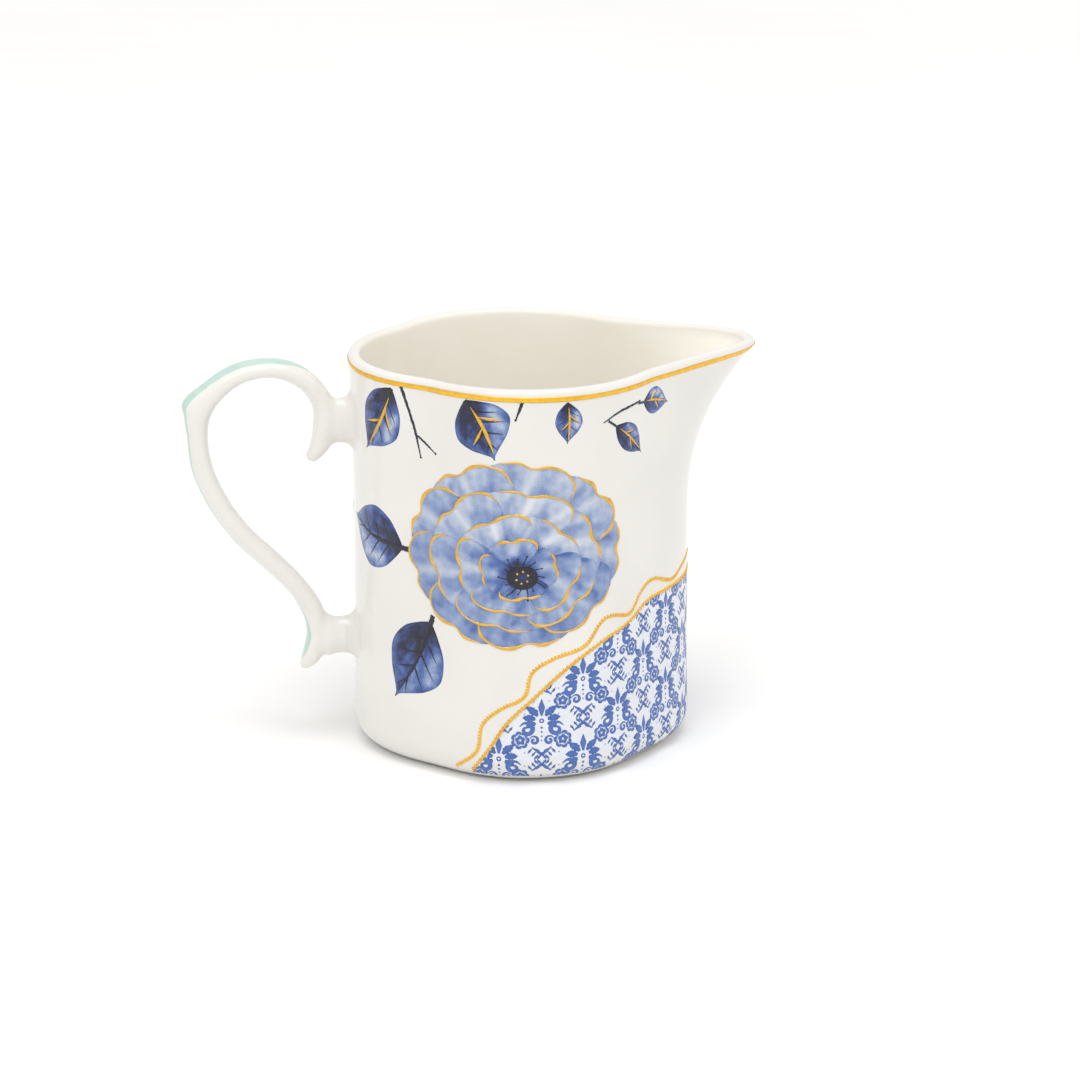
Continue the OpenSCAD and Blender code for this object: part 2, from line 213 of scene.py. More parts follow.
def hexes(rim, step):
    """Points of a triangular grid within an outline, clear of its edge."""
    low = rim.min(0)
    high = rim.max(0)
    rows = np.arange(low[1], high[1], step * 0.866)
    cols = np.arange(low[0] - step, high[0] + step, step)
    x, y = np.meshgrid(cols, rows)
    x = x + (np.arange(len(rows)) % 2)[:, None] * step / 2
    points = np.stack([x.ravel(), y.ravel()], axis=1)
    points = points[inside(points, rim)]
    if len(points) == 0:
        return points
    return points[distance(points, np.vstack([rim, rim[:1]])) > 0.45 * step]


class Film:
    """Fired-on colour for one side of the jug: thin raised patches and lines, gathered in one mesh."""

    LAYER = 0.014
    BASE = 0.03
    SUNK = -0.05

    def __init__(self, bottom=0):
        self.bottom = bottom
        self.points = []
        self.tones = []
        self.faces = []
        self.keep = None

    def rise(self, layer):
        return self.BASE + self.LAYER * (self.bottom + layer)

    def add(self, u, z, out, tones, faces):
        first = sum(len(p) for p in self.points)
        if self.keep is not None:
            faces = [f for f in faces if self.keep(u[f].mean(), z[f].mean())]
        self.points.append(np.stack([u, z, np.broadcast_to(out, u.shape)], axis=1))
        self.tones.append(np.broadcast_to(tones, u.shape))
        self.faces += [[first + i for i in f] for f in faces]

    def fill(self, outline, tone, layer=0, grid=0.5, step=0.35, closed=True):
        """A patch within a smooth outline. tone is a number or a function of points and edge distance."""
        rim = blend(outline, True, step) if closed else np.asarray(outline, float)
        inner = hexes(rim, grid)
        flat = np.vstack([rim, inner]) if len(inner) else rim
        m = len(rim)
        edges = [(i, (i + 1) % m) for i in range(m)]
        found = delaunay_2d_cdt([Vector(p) for p in flat.tolist()], edges, [], 1, 1e-5)
        flat = np.array([tuple(p) for p in found[0]])
        faces = [list(f) for f in found[2]]
        if callable(tone):
            tones = tone(flat, distance(flat, np.vstack([rim, rim[:1]])))
        else:
            tones = np.full(len(flat), float(tone))
        rise = self.rise(layer)
        # the patch's own rim goes down into the glaze, so that it has an edge
        n = len(flat)
        u = np.concatenate([flat[:, 0], rim[:, 0]])
        z = np.concatenate([flat[:, 1], rim[:, 1]])
        out = np.concatenate([np.full(n, rise), np.full(m, self.SUNK)])
        near = [int(((flat - p) ** 2).sum(1).argmin()) for p in rim]
        tones = np.concatenate([tones, tones[near]])
        area = 0.5 * (rim[:, 0] * np.roll(rim[:, 1], -1) - np.roll(rim[:, 0], -1) * rim[:, 1]).sum()
        for i in range(m):
            j = (i + 1) % m
            side = [near[i], n + i, n + j, near[j]]
            faces.append(side if area > 0 else side[::-1])
        self.add(u, z, out, tones, faces)

    def stroke(self, line, widths, tone=0.5, layer=0, raised=0.05, step=0.3, ragged=0):
        """A line of varying half width, raised in the middle. widths are spread along its length."""
        path = blend(line, False, step)
        n = len(path)
        d = np.gradient(path, axis=0)
        d /= np.maximum(np.linalg.norm(d, axis=1), 1e-9)[:, None]
        side = np.stack([-d[:, 1], d[:, 0]], axis=1)
        share = np.linspace(0, 1, n)
        widths = np.atleast_1d(widths).astype(float)
        half = np.interp(share, np.linspace(0, 1, len(widths)), widths)
        half = np.maximum(half, 0.03)
        rng = np.random.default_rng(1)
        across = [(-1, self.SUNK), (-1, 0.3 * raised), (-0.5, 0.85 * raised), (0, raised),
                  (0.5, 0.85 * raised), (1, 0.3 * raised), (1, self.SUNK)]
        left = half * (1 + ragged * rng.uniform(-1, 1, n))
        right = half * (1 + ragged * rng.uniform(-1, 1, n))
        rise = self.rise(layer)
        rows = []
        outs = []
        for place_, up in across:
            reach = np.where(place_ < 0, left, right) * place_
            rows.append(path + side * reach[:, None])
            outs.append(np.full(n, up if up == self.SUNK else rise + up))
        flat = np.stack(rows, axis=1).reshape(-1, 2)
        out = np.stack(outs, axis=1).ravel()
        faces = [f[::-1] for f in loft_faces(n, len(across), 0, closed=False)]
        tones = tone(flat, None) if callable(tone) else float(tone)
        self.add(flat[:, 0], flat[:, 1], out, tones, faces)

    def dot(self, middle, radius, tone=0.5, layer=0, raised=0.05, parts=8):
        """A small round bead."""
        t = np.arange(parts) * 2 * math.pi / parts
        circle = np.stack([np.cos(t), np.sin(t)], axis=1)
        flat = np.vstack([np.asarray(middle) + circle * radius,
                          np.asarray(middle) + circle * radius * 0.6, [middle]])
        rise = self.rise(layer)
        out = np.concatenate([np.full(parts, self.SUNK), np.full(parts, rise + 0.8 * raised),
                              [rise + raised]])
        faces = loft_faces(2, parts)
        faces += [[parts + i, parts + (i + 1) % parts, 2 * parts] for i in range(parts)]
        self.add(flat[:, 0], flat[:, 1], out, float(tone), faces)

    def build(self, name, side, material, slot, *nodes):
        flat = np.vstack(self.points)
        points = on_wall(flat[:, 0], flat[:, 1], flat[:, 2])
        faces = self.faces
        if side == BACK:
            points[:, 1] *= -1
            faces = [f[::-1] for f in faces]
        obj = make_object(name, points, faces, np.concatenate(self.tones))
        return show(obj, material, slot, *nodes)


# ---------- materials ----------

class Finish:
    """Builds one procedural material, node by node."""

    def __init__(self, name):
        self.material = bpy.data.materials.new(name)
        self.material.use_nodes = True
        self.tree = self.material.node_tree
        self.shader = self.tree.nodes["Principled BSDF"]
        self.place = self.add("ShaderNodeTexCoord").outputs["Object"]

    def add(self, kind, **settings):
        node = self.tree.nodes.new(kind)
        for key, value in settings.items():
            setattr(node, key, value)
        return node

    def link(self, out, into):
        self.tree.links.new(out, into)

    def noise(self, size, detail=3.0, rough=0.5):
        """Noise whose features are about size millimetres."""
        node = self.add("ShaderNodeTexNoise")
        node.inputs["Scale"].default_value = 1 / (size * MM)
        node.inputs["Detail"].default_value = detail
        node.inputs["Roughness"].default_value = rough
        self.link(self.place, node.inputs["Vector"])
        return node.outputs["Fac"]

    def attribute(self, name):
        return self.add("ShaderNodeAttribute", attribute_name=name).outputs["Fac"]

    def remap(self, value, low, high, to_low, to_high):
        node = self.add("ShaderNodeMapRange")
        for key, number in zip(("From Min", "From Max", "To Min", "To Max"),
                               (low, high, to_low, to_high)):
            node.inputs[key].default_value = number
        self.link(value, node.inputs["Value"])
        return node.outputs["Result"]

    def math(self, operation, a, b):
        node = self.add("ShaderNodeMath", operation=operation)
        self.link(a, node.inputs[0])
        self.link(b, node.inputs[1])
        return node.outputs["Value"]

    def ramp(self, value, stops):
        node = self.add("ShaderNodeValToRGB")
        elements = node.color_ramp.elements
        while len(elements) < len(stops):
            elements.new(0.5)
        for element, (at, colour) in zip(elements, stops):
            element.position = at
            element.color = (*linear(colour), 1)
        self.link(value, node.inputs["Fac"])
        return node.outputs["Color"]

    def mix(self, share, a, b):
        node = self.add("ShaderNodeMix", data_type="RGBA")
        self.link(share, node.inputs["Factor"])
        self.link(a, node.inputs[6])
        self.link(b, node.inputs[7])
        return node.outputs[2]

    def bump(self, height, depth, after=None):
        """Relief of depth millimetres."""
        node = self.add("ShaderNodeBump")
        node.inputs["Strength"].default_value = 1
        node.inputs["Distance"].default_value = depth * MM
        self.link(height, node.inputs["Height"])
        if after is not None:
            self.link(after, node.inputs["Normal"])
        return node.outputs["Normal"]

    def finish(self, colour, roughness, normal, metallic=0.0, specular=0.5):
        self.link(colour, self.shader.inputs["Base Color"])
        self.link(roughness, self.shader.inputs["Roughness"])
        self.link(normal, self.shader.inputs["Normal"])
        self.shader.inputs["Metallic"].default_value = metallic
        self.shader.inputs["Specular IOR Level"].default_value = specular
        return self.material


def linear(colour):
    """Linear values of a colour given as it looks, from 0 to 255."""
    c = np.asarray(colour, float) / 255
    return tuple(np.where(c <= 0.04045, c / 12.92, ((c + 0.055) / 1.055) ** 2.4).tolist())


def glaze():
    """Clear glaze on white porcelain, bare on the foot ring. The inside is painted lighter and warmer than
    the outside: painted light, standing in for the light bounced about inside the jug.
    """
    f = Finish("white_porcelain")
    cloud = f.noise(22, 4)
    outer = f.ramp(cloud, [(0.35, (227, 225, 220)), (0.65, (232, 230, 225))])
    inner = f.ramp(cloud, [(0.35, (246, 242, 232)), (0.65, (250, 246, 238))])
    # tone is 0 outside and 1 inside: the inside gets the lighter, warmer copy of the white, painted light
    # for the light bounced inside the jug
    colour = f.mix(f.attribute("tone"), outer, inner)
    bare = f.attribute("bare")
    grain = f.ramp(f.noise(0.25, 4), [(0.3, (216, 210, 200)), (0.7, (232, 227, 218))])
    colour = f.mix(bare, colour, grain)
    shine = f.remap(f.noise(9, 3), 0.3, 0.7, 0.07, 0.13)
    roughness = f.math("MAXIMUM", shine, f.remap(bare, 0, 1, 0, 0.7))
    wave = f.bump(f.noise(7, 2), 0.05)
    peel = f.bump(f.noise(0.7, 2), 0.0015, after=wave)
    return f.finish(colour, roughness, peel)


def slip():
    """Glazed slip: the same white, a shade warmer, with the marks of the sponge that wiped it."""
    f = Finish("slip_fillet")
    colour = f.ramp(f.noise(9, 4), [(0.35, (226, 223, 217)), (0.65, (231, 228, 223))])
    roughness = f.remap(f.noise(3, 3), 0.3, 0.7, 0.07, 0.14)
    return f.finish(colour, roughness, f.bump(f.noise(2.5, 2), 0.03))


BLUES = [(0.0, (226, 227, 230)), (0.12, (190, 198, 213)), (0.3, (140, 158, 194)), (0.5, (82, 109, 168)),
         (0.68, (49, 74, 135)), (0.84, (31, 38, 76)), (1.0, (21, 22, 31))]


def ink(name, uneven):
    """Fired blue transfer: the tone painted into the mesh, mottled like a watercolour wash."""
    f = Finish(name)
    mottle = f.remap(f.noise(2.6, 6, 0.62), 0.28, 0.72, -uneven, uneven)
    grain = f.remap(f.noise(0.35, 3, 0.7), 0.2, 0.8, -0.05, 0.05)
    spread = f.math("MULTIPLY", f.math("ADD", mottle, grain),
                    f.remap(f.attribute("tone"), 0, 0.25, 0.2, 1))
    colour = f.ramp(f.math("ADD", f.attribute("tone"), spread), BLUES)
    roughness = f.remap(f.noise(2, 3), 0.3, 0.7, 0.1, 0.18)
    return f.finish(colour, roughness, f.bump(f.noise(0.5, 3), 0.003))


def damask_print():
    """Flat blue of the scroll print, a little uneven as a screen leaves it, over its pale ground."""
    f = Finish("damask_blue")
    uneven = f.remap(f.noise(1.2, 4), 0.25, 0.75, -0.05, 0.05)
    tone = f.math("ADD", f.attribute("tone"), uneven)
    colour = f.ramp(tone, [(0.0, (228, 230, 234)), (0.2, (204, 212, 227)), (0.5, (120, 146, 196)),
                           (0.8, (72, 107, 176)), (1.0, (56, 90, 162))])
    roughness = f.remap(f.noise(2, 3), 0.3, 0.7, 0.1, 0.18)
    return f.finish(colour, roughness, f.bump(f.noise(0.4, 3), 0.003))


def gold():
    """Fired gold: bright, soft in gloss, with brush marks and thinner, browner places."""
    f = Finish("gold_enamel")
    thin = f.noise(1.6, 4, 0.6)
    bright = f.ramp(thin, [(0.3, (230, 174, 46)), (0.7, (246, 197, 70))])
    old = f.ramp(thin, [(0.3, (192, 146, 60)), (0.7, (220, 176, 88))])
    colour = f.mix(f.attribute("tone"), bright, old)
    roughness = f.remap(f.noise(0.6, 4), 0.25, 0.75, 0.28, 0.42)
    return f.finish(colour, roughness, f.bump(f.noise(0.25, 3), 0.01), metallic=0.75)


def mint():
    """Opaque pale green enamel, brushed on, so its depth of colour changes along the stroke."""
    f = Finish("mint_enamel")
    colour = f.ramp(f.noise(4, 4, 0.6), [(0.3, (176, 207, 195)), (0.7, (196, 220, 211))])
    roughness = f.remap(f.noise(3, 3), 0.3, 0.7, 0.1, 0.2)
    return f.finish(colour, roughness, f.bump(f.noise(0.8, 3), 0.006))


PORCELAIN = glaze()
SLIP = slip()
PETAL_INK = ink("petal_blue", 0.07)
LEAF_INK = ink("leaf_blue", 0.17)
TWIG_INK = ink("twig_navy", 0.08)
DAMASK_INK = damask_print()
GOLD = gold()
MINT = mint()


# ---------- body ----------

AROUND = 288
RIM_ROUND = WALL / 2


def body():
    """The slip-cast wall, from the underside out over the foot, up, over the rim and down inside."""
    p = np.arange(AROUND) * 360 / AROUND - 180
    a = p - 17 * np.sin(np.radians(p))
    rings = []
    tones = []
    bare = []

    def add(r, z, tone=0.0, unglazed=0.0):
        rings.append(place(a, r, z))
        tones.append(np.full(AROUND, tone))
        bare.append(np.full(AROUND, unglazed))

    foot = wall_radius(a, 0.0)
    for share in (0.15, 0.4, 0.7, 0.95, 1):
        add((foot - RING_WIDTH - 0.8) * share, UNDERSIDE)
    for t in np.radians([30, 60, 90]):
        add(foot - RING_WIDTH - 0.8 + 0.5 * (1 - np.cos(t)), UNDERSIDE - 0.5 * np.sin(t) * 2)
    add(foot - RING_WIDTH, 0.3)
    add(foot - RING_WIDTH + 0.1, 0.08, 0, 1)
    add(foot - RING_WIDTH + 0.3, 0, 0, 1)
    add(foot - 0.2, 0, 0, 1)
    for t in np.radians(np.arange(4, 90, 5)):
        z = FOOT_RISE * (1 - np.cos(t))
        add(wall_radius(a, z), z + lifted(a, z), 0, 1.0 if z < 0.25 else 0.0)
    high = HEIGHT - RIM_ROUND
    for z in np.linspace(FOOT_RISE, high, 84):
        add(wall_radius(a, z), z + lifted(a, z))
    for t in np.radians(np.arange(15, 180, 15)):
        add(wall_radius(a, high) - RIM_ROUND + RIM_ROUND * np.cos(t),
            high + lifted(a, HEIGHT) + RIM_ROUND * np.sin(t), unit((t - 1.7) / 1.4))
    floor = FLOOR_TOP + FLOOR_TURN
    for z in np.linspace(high, floor, 56):
        add(wall_radius(a, z) - WALL, z + lifted(a, z), 1)
    for t in np.radians(np.arange(81, -1, -9)):
        add(wall_radius(a, floor) - WALL - FLOOR_TURN * (1 - np.sin(t)), floor - FLOOR_TURN * np.cos(t),
            1)
    for share in (0.8, 0.55, 0.3, 0.1):
        add((wall_radius(a, floor) - WALL - FLOOR_TURN) * share, FLOOR_TOP, 1)

    # tone is 0 outside and 1 inside and over the rim's inner half, where the glaze puts its painted light,
    # a lighter and warmer white
    tone = np.concatenate([[0], *tones, [1]])
    obj = skin("jug_wall", rings, (0, 0, UNDERSIDE), (0, 0, FLOOR_TOP), tone)
    obj.data.flip_normals()
    layer = obj.data.attributes.new("bare", "FLOAT", "POINT")
    layer.data.foreach_set("value", np.concatenate([[0], *bare, [0]]).astype(np.float32))
    return show(obj, PORCELAIN, "white_porcelain", "jug_body")


# ---------- handle ----------

# Middle line of the strap from the upper scroll over the top to the lower scroll, each as
# x, z, outer half thickness, inner half thickness, half width.
STRAP = np.array([
    (-45.3, 63.4, 1.2, 1.2, 1.5), (-43.4, 66.4, 2.4, 1.9, 2.6), (-42.3, 70.3, 2.5, 2.4, 3.1),
    (-42.3, 75.0, 2.4, 2.4, 3.2), (-45.0, 79.6, 2.2, 2.2, 3.3), (-49.5, 82.6, 2.1, 2.0, 3.4),
    (-54.5, 83.6, 1.9, 1.9, 3.5), (-60.3, 82.5, 2.1, 2.0, 3.6), (-65.3, 79.3, 2.4, 2.4, 3.6),
    (-68.6, 75.0, 3.0, 2.7, 3.5), (-69.2, 69.5, 2.1, 2.3, 3.3), (-68.2, 62.0, 2.2, 2.3, 3.2),
    (-64.8, 54.0, 2.1, 2.3, 3.1), (-60.0, 47.0, 2.0, 2.3, 3.0), (-54.3, 41.2, 2.0, 2.3, 3.0),
    (-49.2, 35.6, 2.0, 2.3, 3.0), (-45.6, 30.0, 2.2, 2.4, 3.1), (-44.3, 24.5, 2.4, 2.4, 3.2),
    (-45.6, 19.8, 2.1, 2.1, 2.6), (-47.6, 17.0, 1.0, 1.0, 1.3)])
HEEL_AT = 9
HEEL = 0.85
UPPER_STEM = (71.6, 4.9)
LOWER_STEM = (23.7, 4.1)
STEM_HALF_WIDTH = 2.8
WALL_FILLET = 2.6
WAIST_X = -RADIUS - WALL_FILLET
STRAP_FILLET = 1.7
VOXEL = 0.26


def strap_at(s):
    """The strap's middle line and thicknesses, s control points from its upper end."""
    n = len(STRAP)
    q = np.vstack([2 * STRAP[0] - STRAP[1], STRAP, 2 * STRAP[-1] - STRAP[-2]])
    i = np.clip(s.astype(int), 0, n - 2)
    t = (s - i)[:, None]
    a, b, c, d = q[i], q[i + 1], q[i + 2], q[i + 3]
    return 0.5 * (2 * b + (c - a) * t + (2 * a - 5 * b + 4 * c - d) * t ** 2
                  + (3 * b - a - 3 * c + d) * t ** 3)


def on_strap(s, t, out):
    """Points of the strap's skin: s along it, t radians round it from the outward side."""
    p = strap_at(s)
    d = strap_at(np.minimum(s + 0.25, len(STRAP) - 1)) - strap_at(np.maximum(s - 0.25, 0))
    d = d[:, :2] / np.linalg.norm(d[:, :2], axis=1)[:, None]
    heel = HEEL * np.exp(-((s - HEEL_AT) / np.where(s < HEEL_AT, 0.5, 0.2)) ** 2)
    c, w = np.cos(t), np.sin(t)
    across = np.sign(w) * np.abs(w) ** 0.87
    up = np.sign(c) * np.abs(c) ** 0.87
    half = np.where(c > 0, p[:, 2:3], p[:, 3:4]) + out
    off = half * up + heel[:, None] * np.maximum(0, c) ** 3
    x = p[:, 0:1] + d[:, 1:2] * off
    z = p[:, 1:2] - d[:, 0:1] * off
    return np.stack([x, (p[:, 4:5] + out) * across, z], axis=-1)


def spread(x, at, reach):
    return reach * (1 - np.sqrt(unit(1 - unit(1 - np.abs(x - at) / reach) ** 2)))


def oval(x, z, half, grow, parts=64):
    t = np.arange(parts) * 2 * math.pi / parts
    return np.stack([np.full(parts, float(x)), (STEM_HALF_WIDTH + 0.75 * grow) * np.cos(t),
                     z + (half + grow) * np.sin(t)], axis=1)


def relax(mesh, share, rounds):
    """Moves each vertex towards the mean of its neighbours, by its own share, some rounds over."""
    n = len(mesh.vertices)
    co = np.zeros(n * 3, np.float32)
    mesh.vertices.foreach_get("co", co)
    co = co.reshape(-1, 3).astype(float)
    edges = np.zeros(len(mesh.edges) * 2, np.int32)
    mesh.edges.foreach_get("vertices", edges)
    a, b = edges.reshape(-1, 2).T
    count = np.bincount(a, minlength=n) + np.bincount(b, minlength=n)
    w = share(co / MM)[:, None]
    for _ in range(rounds):
        mean = np.stack([np.bincount(a, co[b, k], n) + np.bincount(b, co[a, k], n) for k in range(3)], 1)
        co += w * (mean / count[:, None] - co)
    mesh.vertices.foreach_set("co", co.astype(np.float32).ravel())
    mesh.update()


def near_stems(p):
    """How much a point belongs to the hollows between the strap and the stems."""
    share = np.zeros(len(p))
    for z, half in (UPPER_STEM, LOWER_STEM):
        off = np.hypot((p[:, 0] + 42.2) / 2.2, (np.abs(p[:, 2] - z) - 0.6 * half) / (half + 2))
        share = np.maximum(share, 0.6 * np.exp(-off ** 4))
    return share


def remeshed(obj, name):
    """The union of the object's overlapping skins as one smooth mesh."""
    remesh = obj.modifiers.new("remesh", "REMESH")
    remesh.mode = "VOXEL"
    remesh.voxel_size = VOXEL * MM
    smooth = obj.modifiers.new("smooth", "SMOOTH")
    smooth.factor = 0.5
    smooth.iterations = 10
    mesh = bpy.data.meshes.new_from_object(obj.evaluated_get(bpy.context.evaluated_depsgraph_get()))
    bpy.data.objects.remove(obj)
    mesh.name = name
    relax(mesh, near_stems, 70)
    mesh.shade_smooth()
    out = bpy.data.objects.new(name, mesh)
    bpy.context.scene.collection.objects.link(out)
    return out


def handle():
    s = np.linspace(0, len(STRAP) - 1, 230)
    t = np.arange(48) * 2 * math.pi / 48
    rings = list(on_strap(s, t[None, :], 0.0))
    ends = strap_at(np.array([0.0, len(STRAP) - 1.0]))
    tips = strap_at(np.array([0.2, len(STRAP) - 1.2]))
    reach = ends - (tips - ends) * np.array([[0.9], [0.9]])
    solids = [skin("strap", rings, (reach[0, 0], 0, reach[0, 1]), (reach[1, 0], 0, reach[1, 1]))]
    for (z, half), start in ((UPPER_STEM, -43.0), (LOWER_STEM, -43.6)):
        stations = np.linspace(start, WAIST_X + 1.2, 26)
        stem = [oval(x, z, half, spread(x, -42, STRAP_FILLET)) for x in stations]
        solids.append(skin("stem", stem, (stations[0], 0, z), (stations[-1], 0, z)))
    for solid in solids:
        solid.data.flip_normals()
    with bpy.context.temp_override(active_object=solids[0], selected_editable_objects=solids):
        bpy.ops.object.join()
    return show(remeshed(solids[0], "handle_casting"), PORCELAIN, "white_porcelain", "handle")


def luting(name, stem, node):
    """Slip wiped to a hollow fillet: it leaves the stem's waist and runs out on the wall."""
    z, half = stem
    rings = [oval(WAIST_X - 0.15, z, half - 0.08, 0.0)]
    for t in np.radians(np.linspace(0, 84, 22)):
        grow = 0.02 + WALL_FILLET * (1 - np.cos(t))
        ring = oval(WAIST_X + WALL_FILLET * np.sin(t), z, half, grow)
        angle = 180 - np.degrees(np.arcsin(ring[:, 1] / RADIUS))
        wall = -np.sqrt(wall_radius(angle, ring[:, 2]) ** 2 - ring[:, 1] ** 2)
        share = unit(np.degrees(t) / 80)
        ring[:, 0] += share ** 2 * (3 - 2 * share) * (wall + RADIUS)
        rings.append(ring)
    edge = oval(0, z, half, WALL_FILLET + 0.3)
    angle = 180 - np.degrees(np.arcsin(edge[:, 1] / RADIUS))
    edge[:, 0] = -np.sqrt((wall_radius(angle, edge[:, 2]) - 0.12) ** 2 - edge[:, 1] ** 2)
    rings.append(edge)
    obj = skin(name, rings, (WAIST_X - 0.15, 0, z), (-RADIUS + 0.6, 0, z))
    obj.data.flip_normals()
    return show(obj, SLIP, "slip_fillet", node)


def mint_stroke(name, node, start, end, half_angles):
    """Enamel brushed over the back of the strap. half_angles, in degrees, are spread along it."""
    s = np.linspace(start, end, 160)
    wobble = 1 + 0.02 * np.sin(5.3 * s) + 0.015 * np.sin(11.7 * s)
    along_it = blend(np.stack([np.arange(len(half_angles)), half_angles], axis=1), False, 0.1)
    w = np.interp(np.linspace(0, len(half_angles) - 1, len(s)), along_it[:, 0], along_it[:, 1])
    w = np.radians(np.maximum(w, 1)) * wobble
    across = np.linspace(-1, 1, 19)
    out = 0.09 * unit((1 - np.abs(across)) / 0.08) ** 0.5 - 0.03
    points = np.stack([on_strap(s, (w * k)[:, None], o)[:, 0] for k, o in zip(across, out)], axis=1)
    obj = make_object(name, points.reshape(-1, 3), loft_faces(len(s), len(across), 0, closed=False))
    return show(obj, MINT, "mint_enamel", node)


def gold_rim():
    """The line below the rim, drawn by hand, so it wanders a little and changes in width."""
    count = 720
    p = np.arange(count) * 360 / count - 180
    a = p - 17 * np.sin(np.radians(p))
    t = np.radians(a)
    middle = HEIGHT - 1.85 + 0.1 * np.sin(2 * t + 0.6) + 0.06 * np.sin(5 * t)
    half = 0.5 * (1 + 0.09 * np.sin(3 * t + 1) + 0.05 * np.sin(11 * t))
    across = [(-1, -0.05), (-1, 0.05), (-0.6, 0.1), (0, 0.12), (0.6, 0.1), (1, 0.05), (1, -0.05)]
    rings = []
    for share, up in across:
        z = middle + half * share
        rings.append(place(a, wall_radius(a, z) + up + 0.06, z + lifted(a, z)))
    points = np.stack(rings, axis=0).reshape(-1, 3)
    obj = make_object("gold_line", points, loft_faces(len(across), count), np.zeros(len(points)))
    return show(obj, GOLD, "gold_enamel", "gold_rim_line")


# ---------- the flower ----------
# A plain many-petalled flower, laid out by formula. Only its place, size and colours are the jug's.

FLOWER = np.array((-8, 50.5))
REACH = np.array((25.2, 20.2))
HEART_SHIFT = np.array((2.5, -4.5))
# One petal from its root, up one side, round the tip and back: shares of its length and half width.
PETAL = [(0, 0.2), (0.3, 0.7), (0.58, 1), (0.8, 0.98), (0.95, 0.66), (1, 0.26), (0.95, -0.04),
         (0.99, -0.4), (0.94, -0.74), (0.78, -1), (0.56, -1), (0.3, -0.7), (0, -0.2)]
TIP = 4
TIP_END = 8
# Each ring of petals: how many, root, tip and half width as shares of REACH, first layer, tone, turn.
RINGS = [(9, 0.2, 1, 0.4, 1, 0.2, 0),
         (6, 0.14, 0.76, 0.4, 5.2, 0.14, 0.35),
         (5, 0.08, 0.53, 0.32, 8.4, 0.14, 0.8),
         (4, 0.04, 0.32, 0.2, 11.4, 0.26, 0.2)]
PETAL_STEP = 0.42
HEART_LAYER = 14
OVAL_POINTS = 28
STAMENS = 14
OLD_GOLD = 0.35


def wash(base, root, root_tone, reach, marks=(), streaks=0.07, edge=0.07, seed=0):
    """A brush wash: its tone runs from the petal's root outwards, with soft marks on top.

    marks are (line, tone, half width) in millimetres.
    """
    root = np.asarray(root, float)
    lines = [(blend(line, False, 0.6), level, width) for line, level, width in marks]

    def tone(points, rim_distance):
        away = points - root
        far = np.hypot(away[:, 0], away[:, 1])
        angle = np.arctan2(away[:, 1], away[:, 0])
        t = base + (root_tone - base) * np.exp(-(far / reach) ** 2)
        wave = 0.6 * np.sin(11 * angle + seed) + 0.4 * np.sin(27 * angle + 2.3 * seed + 0.15 * far)
        t = t + streaks * wave * unit(far / reach)
        u, z = points[:, 0], points[:, 1]
        t = t + 0.03 * np.sin(1.9 * u + 1.1 * z + seed) * np.sin(1.3 * z - 0.9 * u + 2 * seed)
        for line, level, width in lines:
            t = t + (level - t) * np.exp(-(distance(points, line) / width) ** 2)
        if rim_distance is not None:
            t = t + edge * np.exp(-(rim_distance / 0.35) ** 2)
        return unit(t)

    return tone


def petals():
    """Every petal as its place function, its layer, its tone, its number and whether it lies on top."""
    for ring, (count, inner, outer, half, first, tone, turn) in enumerate(RINGS):
        middle = FLOWER + HEART_SHIFT * (1 - outer)
        for i in range(count):
            angle = 2 * math.pi * i / count + turn
            ahead = np.array((math.cos(angle), math.sin(angle)))
            aside = np.array((-ahead[1], ahead[0]))
            length = (outer - inner) * (1 - 0.05 * (0.5 + 0.5 * math.sin(5 * i + 2 * ring)))

            def place(share, across, ahead=ahead, aside=aside, length=length, middle=middle,
                      inner=inner, half=half):
                return middle + REACH * (ahead * (inner + length * share) + aside * half * across)

            low = 0.5 - 0.5 * math.sin(angle)
            yield place, first + PETAL_STEP * i, tone + 0.17 * low, 10 * ring + i, i > 0


def peony_ink(f):
    turns = np.arange(OVAL_POINTS) * 2 * math.pi / OVAL_POINTS
    oval = FLOWER + 0.9 * REACH * np.stack([np.cos(turns), np.sin(turns)], axis=1)
    f.fill(oval, 0.62, 0, grid=1)
    for place, layer, tone, number, _ in petals():
        outline = [place(*p) for p in PETAL]
        root = place(0.1, 0)
        length = np.linalg.norm(place(1, 0) - root)
        marks = [([place(0.35, 0.3), place(0.7, 0.36), place(0.86, 0.3)], tone + 0.16, 0.8),
                 ([place(0.3, -0.35), place(0.65, -0.42)], tone + 0.2, 0.9),
                 ([place(0.6, 0), place(0.9, -0.1)], max(0.04, tone - 0.1), 1.2),
                 ([place(0.15, 0.6), place(0.6, 0.95)], tone + 0.28, 0.8)]
        f.fill(outline, wash(tone, root, 0.84, 0.5 * length, marks, 0.07, 0.04, number), layer)
    middle = FLOWER + HEART_SHIFT
    heart = middle + 0.13 * REACH * np.stack([np.cos(turns), np.sin(turns)], axis=1)
    f.fill(heart, wash(0.98, middle, 0.78, 1.4), HEART_LAYER)
    for i in range(STAMENS):
        angle = 2 * math.pi * i / STAMENS
        away = np.array((math.cos(angle), math.sin(angle)))
        reach = 4.4 + 0.7 * math.sin(3 * i)
        bend = np.array((-away[1], away[0])) * 0.4
        line = [middle + away * 1.2, middle + away * 0.6 * reach + bend, middle + away * reach]
        f.stroke(line, [0.1, 0.15, 0.06], 1, HEART_LAYER + 0.5, 0.02, ragged=0.2)
        f.dot(line[-1], 0.32, 1, HEART_LAYER + 0.5, 0.03)


